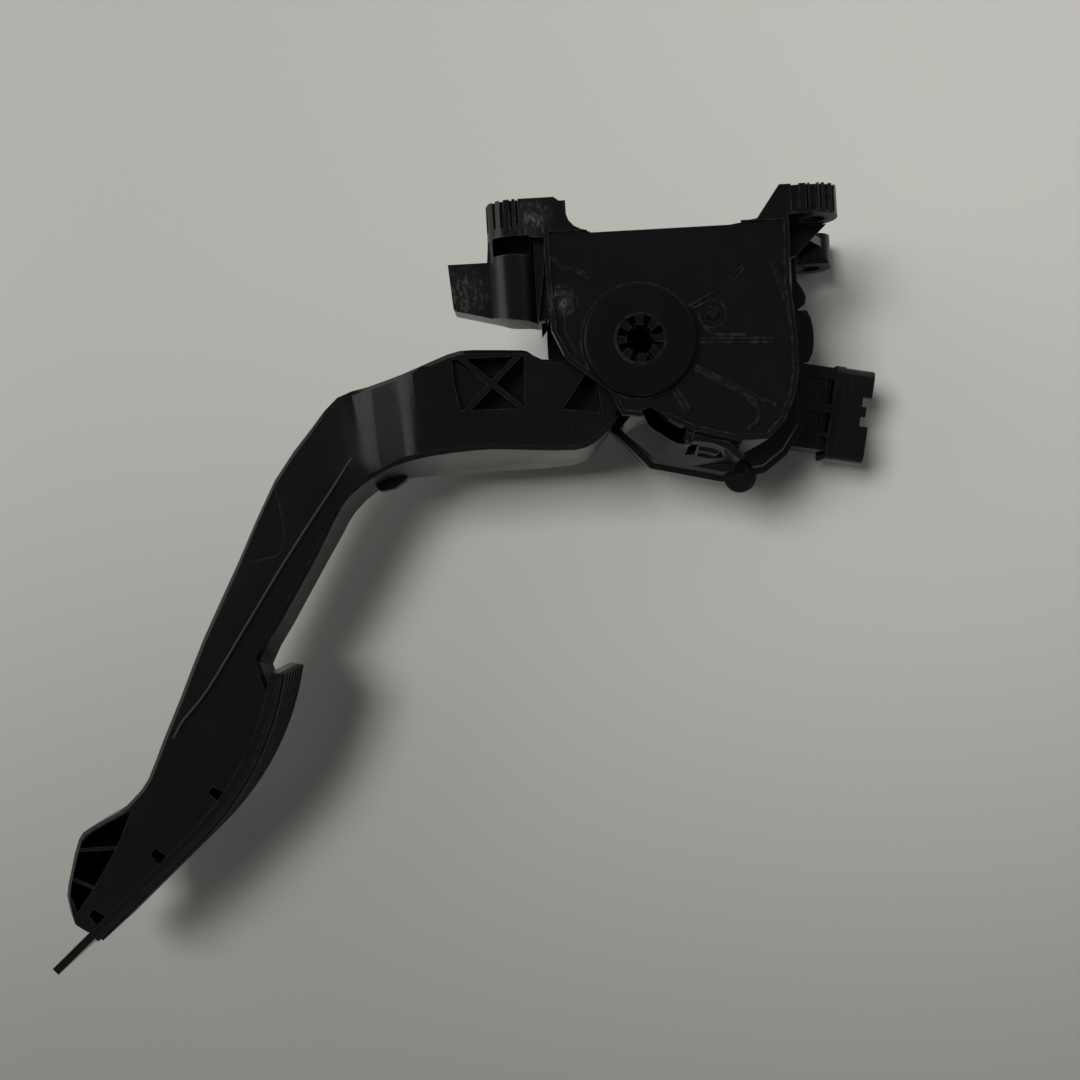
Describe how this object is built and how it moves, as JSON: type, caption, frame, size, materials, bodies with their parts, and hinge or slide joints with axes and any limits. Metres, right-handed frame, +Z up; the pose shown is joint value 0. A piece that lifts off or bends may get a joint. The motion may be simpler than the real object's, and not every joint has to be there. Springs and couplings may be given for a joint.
{
  "type": "accelerator pedal",
  "caption": "Hanging accelerator pedal: swinging arm with ribbed foot pad on a spring-loaded pivot, housing with bolting feet and sensor connector.",
  "frame": {"origin": "midway between the two near mounting holes, on the plane of the mounting faces", "axes": "+Z up through the two near mounting holes, +Y forward into the bulkhead, +X along the pivot axis from the round head to the sensor side"},
  "size_m": [0.074, 0.2301, 0.2776],
  "materials": {
    "housing_plastic": "black glass-filled plastic, satin, lightly scuffed",
    "arm_plastic": "black glass-filled plastic, fine moulded grain",
    "axle_plastic": "black plastic with a smooth turned sheen",
    "cover_plastic": "black plastic, satin",
    "pad_rubber": "black ribbed rubber, dull",
    "stop_rubber": "black soft rubber, dull",
    "plated_steel": "zinc plated steel",
    "spring_steel": "drawn spring wire",
    "lever_plastic": "dark grey glass-filled plastic",
    "lining_composite": "pressed friction material",
    "bush_plastic": "natural bearing plastic",
    "cup_plastic": "natural white plastic",
    "magnet_ferrite": "sintered ferrite",
    "board_laminate": "green coated laminate",
    "chip_plastic": "moulded chip body",
    "capacitor_ceramic": "fired ceramic",
    "terminal_brass": "tin plated brass"
  },
  "bodies": {
    "bracket": {"housing": "housing_plastic", "foot_sleeves": "plated_steel", "pivot_axle": "axle_plastic", "hysteresis_lever": "lever_plastic", "lever_pin": "plated_steel", "friction_lining": "lining_composite", "idle_stop_pad": "stop_rubber", "outer_return_spring": "spring_steel", "inner_return_spring": "spring_steel", "sensor_cover": "cover_plastic", "cover_gasket": "stop_rubber", "cover_screws": "plated_steel", "circuit_board": "board_laminate", "sensor_chips": "chip_plastic", "board_capacitors": "capacitor_ceramic", "connector_terminals": "terminal_brass", "board_screws": "plated_steel"},
    "pedal": {"pedal_arm": "arm_plastic", "rubber_pad_cover": "pad_rubber", "hub_bushes": "bush_plastic", "spring_cup": "cup_plastic", "magnet_ring": "plated_steel", "sensor_magnets": "magnet_ferrite"}
  },
  "joints": [
    {"name": "pedal_pivot", "type": "hinge", "parent": "bracket", "child": "pedal", "pos_m": [0.0135, -0.0445, -0.0095], "axis": [1, 0, 0], "range_deg": [0, 11], "stiffness_Nm_per_rad": 14, "springref_deg": -15.47, "deforming": ["outer_return_spring", "inner_return_spring"]}
  ]
}
